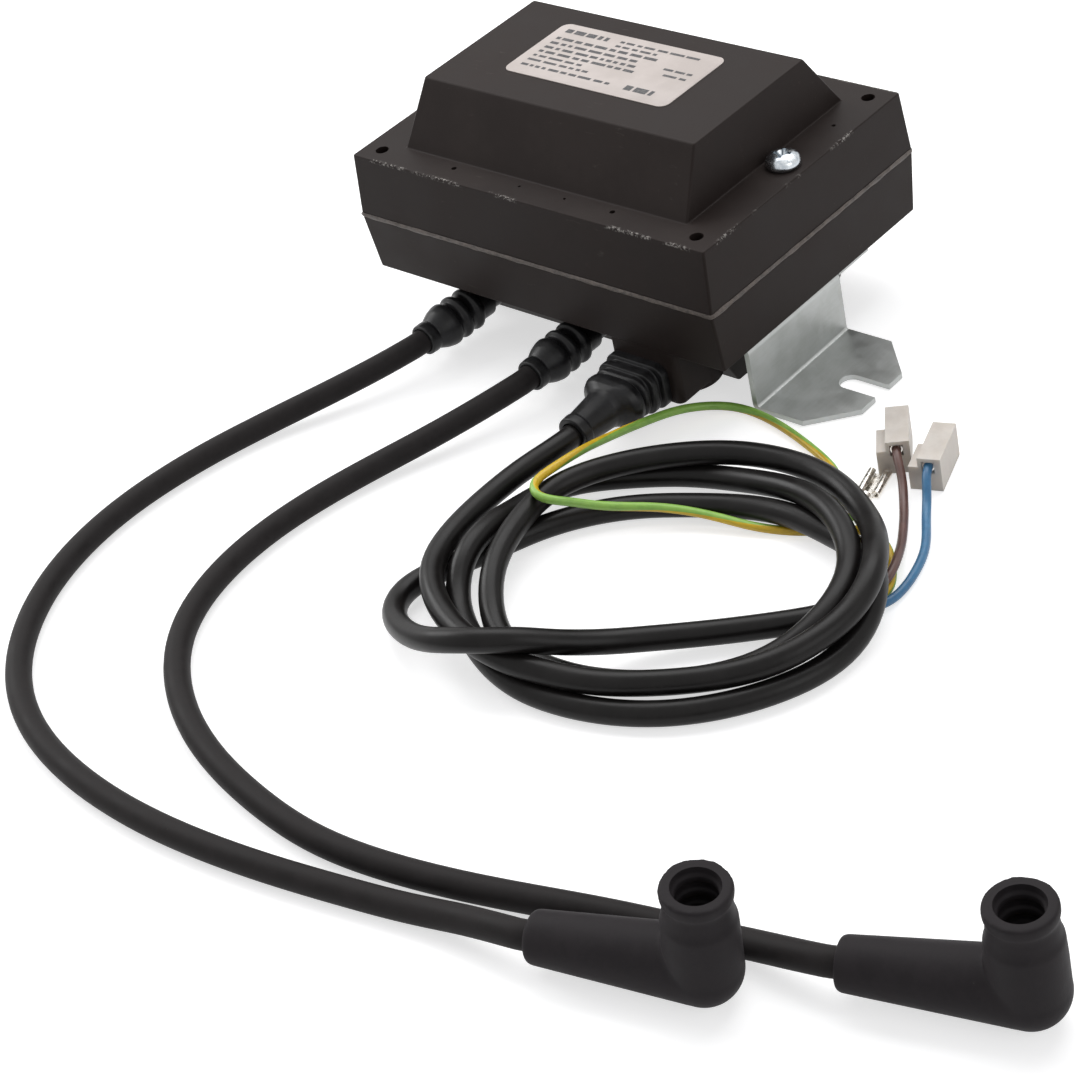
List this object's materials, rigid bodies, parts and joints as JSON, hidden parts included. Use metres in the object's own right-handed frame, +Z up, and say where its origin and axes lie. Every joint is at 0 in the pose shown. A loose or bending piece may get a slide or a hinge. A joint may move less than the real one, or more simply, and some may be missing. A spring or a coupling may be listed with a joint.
{
  "type": "ignition transformer",
  "caption": "Potted ignition transformer in a two-part moulded case, with sheathed high-voltage leads to elbow boots, a coiled supply cable and a slotted foot bracket.",
  "frame": {"origin": "on the base plane under the middle of the case", "axes": "+X along the case towards the bracket, -Y towards the leads, +Z up"},
  "size_m": [0.3257, 0.2878, 0.0765],
  "materials": {
    "case": "warm charcoal moulded plastic, finely scuffed",
    "bead": "squeezed-out adhesive",
    "label": "bare off-white label",
    "potting": "cast filling compound",
    "core": "stacked core sheets",
    "bobbin": "moulded bobbins",
    "copper": "enamelled copper wire",
    "terminal": "brass, slightly dull",
    "earth_green": "green and yellow insulation",
    "zinc": "zinc-coated sheet with a faint spangle",
    "bright_zinc": "bright plating",
    "gland_rubber": "black rubber, semi-matte",
    "cable_rubber": "matte black sheath",
    "cable_vinyl": "black sheath with a soft sheen",
    "brown": "brown insulation",
    "blue": "blue insulation",
    "nylon": "translucent white nylon"
  },
  "bodies": {
    "root": {"upper_shell": "case", "lower_shell": "case", "seam_bead": "bead", "rating_label": "label", "potting_fill": "potting", "core_e": "core", "core_i": "core", "magnetic_shunts": "core", "primary_bobbin": "bobbin", "primary_winding": "copper", "secondary_bobbin_left": "bobbin", "secondary_bobbin_right": "bobbin", "secondary_winding_left": "copper", "secondary_winding_right": "copper", "hv_terminal_left": "terminal", "hv_terminal_right": "terminal", "supply_terminals": "terminal", "earth_link": "earth_green", "mounting_bracket": "zinc", "bracket_screw": "bright_zinc", "bracket_nut": "zinc", "screw_sleeve": "zinc", "hv_gland_left": "gland_rubber", "hv_gland_right": "gland_rubber", "mains_grommet": "gland_rubber", "hv_cable_left": "cable_rubber", "hv_cable_right": "cable_rubber", "electrode_boot_left": "gland_rubber", "electrode_boot_right": "gland_rubber", "boot_contact_left": "terminal", "boot_contact_right": "terminal", "mains_cable": "cable_vinyl", "mains_coil": "cable_vinyl", "brown_wire": "brown", "blue_wire": "blue", "earth_wire": "earth_green", "line_housing": "nylon", "neutral_housing": "nylon", "line_receptacle": "bright_zinc", "neutral_receptacle": "bright_zinc", "earth_receptacle": "bright_zinc"}
  },
  "joints": []
}
